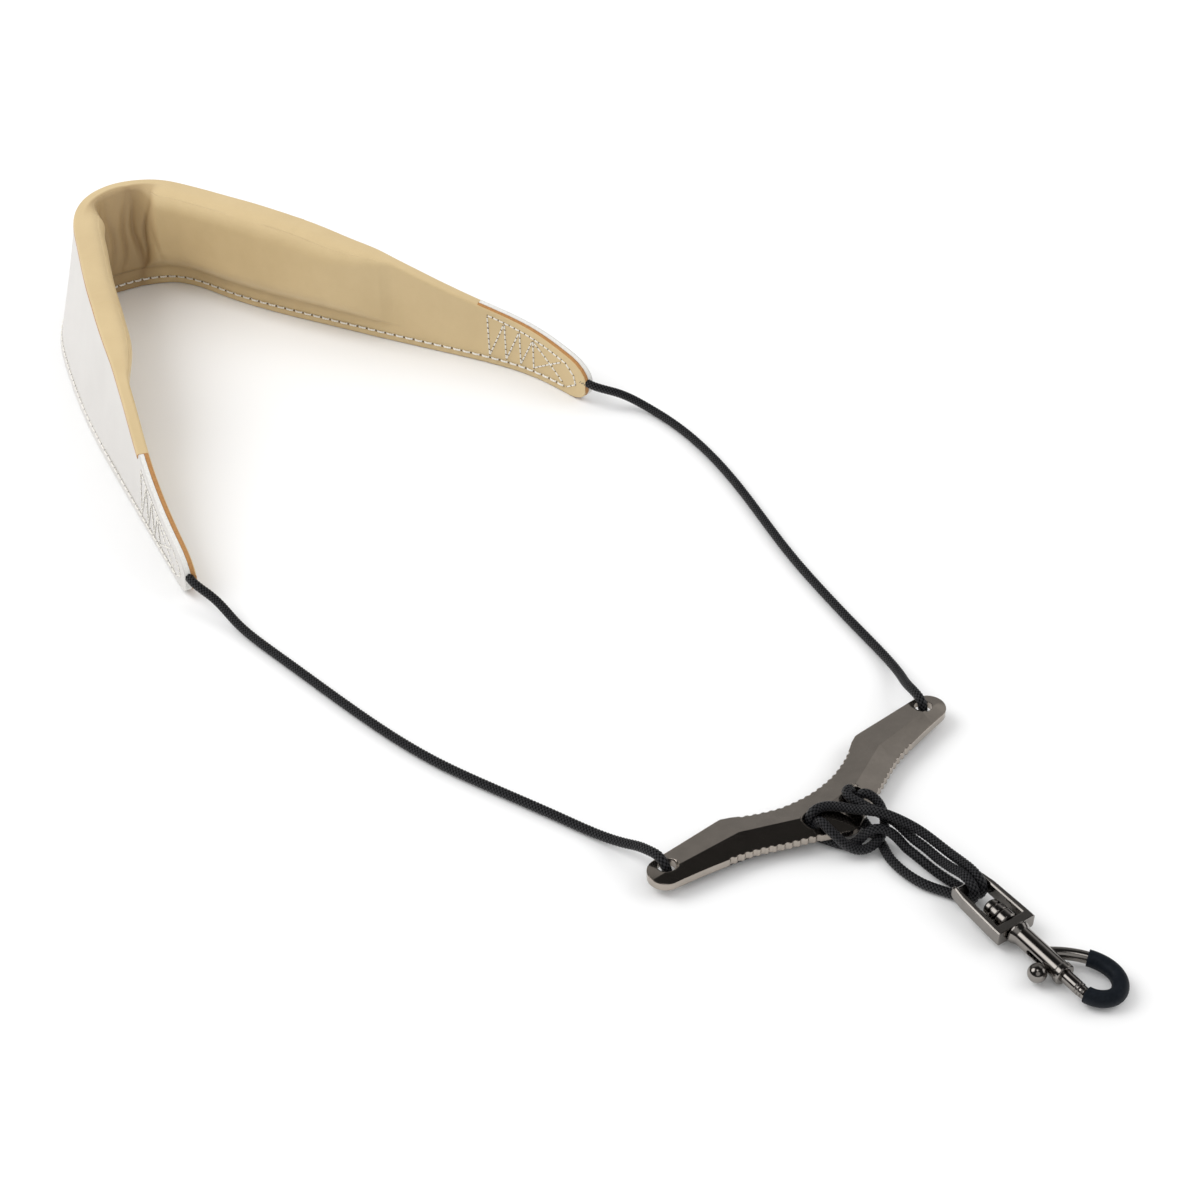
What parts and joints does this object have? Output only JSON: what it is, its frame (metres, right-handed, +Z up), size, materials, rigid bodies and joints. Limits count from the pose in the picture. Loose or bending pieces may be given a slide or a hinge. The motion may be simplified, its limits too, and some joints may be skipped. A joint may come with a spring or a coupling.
{
  "type": "instrument neck strap",
  "caption": "Padded leather neck strap with a braided cord, a sliding adjuster bar and a swivelling snap hook, laid flat.",
  "frame": {"origin": "on the axis of the hook's eye, in the plane the strap rests on", "axes": "+Z up, along the eye's axis; +Y from the hook toward the back of the neck pad; +X toward the wearer's left tip of the adjuster bar, the right one as seen from the hook"},
  "size_m": [0.2047, 0.5419, 0.0461],
  "materials": {
    "white_leather": "smooth off-white leather, white cut edge",
    "beige_leather": "soft beige leather, tan cut edge",
    "foam": "soft closed-cell foam, hidden",
    "thread": "twisted white thread",
    "cord": "black braid",
    "dark_nickel": "polished black nickel",
    "rubber": "matt dark rubber",
    "spring_steel": "bright spring wire"
  },
  "bodies": {
    "neck_pad": {"outer_leather": "white_leather", "inner_leather": "beige_leather", "foam_core": "foam", "edge_stitching": "thread", "tab_stitching_left": "thread", "tab_stitching_right": "thread", "cord_end_left": "cord", "cord_end_right": "cord"},
    "neck_cords": {"neck_cord_left": "cord", "neck_cord_right": "cord"},
    "bar": {"y_bar": "dark_nickel", "bar_cord_left": "cord", "bar_cord_right": "cord", "knot_cord": "cord"},
    "hook_cords": {"hook_loop_left": "cord", "hook_loop_right": "cord"},
    "yoke_body": {"yoke": "dark_nickel"},
    "hook": {"swivel_post": "dark_nickel", "swivel_washer": "dark_nickel", "hook_body": "dark_nickel", "rubber_sleeve": "rubber", "bolt_spring": "spring_steel"},
    "gate": {"gate_bolt": "dark_nickel", "thumb_knob": "dark_nickel"}
  },
  "joints": [
    {"name": "cord_swing", "type": "hinge", "parent": "neck_pad", "child": "neck_cords", "pos_m": [-0.01095, 0.3292, 0.009], "axis": [1, 0, 0], "range_deg": [-75, 75]},
    {"name": "bar_slide", "type": "slide", "parent": "neck_cords", "child": "bar", "axis": [0, 1, 0], "range_m": [-0.02, 0.08], "deforming": ["neck_cord_left", "neck_cord_right"]},
    {"name": "hook_draw", "type": "slide", "parent": "bar", "child": "hook_cords", "axis": [0, 1, 0], "range_m": [-0.04, 0.01], "deforming": ["hook_loop_left", "hook_loop_right"]},
    {"name": "yoke_swing", "type": "hinge", "parent": "hook_cords", "child": "yoke_body", "pos_m": [-0.00215, 0.0484, 0.00535], "axis": [0.9959, -0.0899, 0], "range_deg": [-60, 60]},
    {"name": "hook_swivel", "type": "hinge", "parent": "yoke_body", "child": "hook", "pos_m": [-0.00413, 0.0265, 0.00458], "axis": [-0.0899, -0.9953, -0.0349], "continuous": true},
    {"name": "bolt_slide", "type": "slide", "parent": "hook", "child": "gate", "axis": [0.0899, 0.9953, 0.0349], "range_m": [0, 0.0072], "stiffness_N_per_m": 150, "springref_m": -0.003, "deforming": ["bolt_spring"]}
  ],
  "couplings": [
    {"joint": "hook_draw", "follows": "bar_slide", "ratio": -0.5}
  ]
}
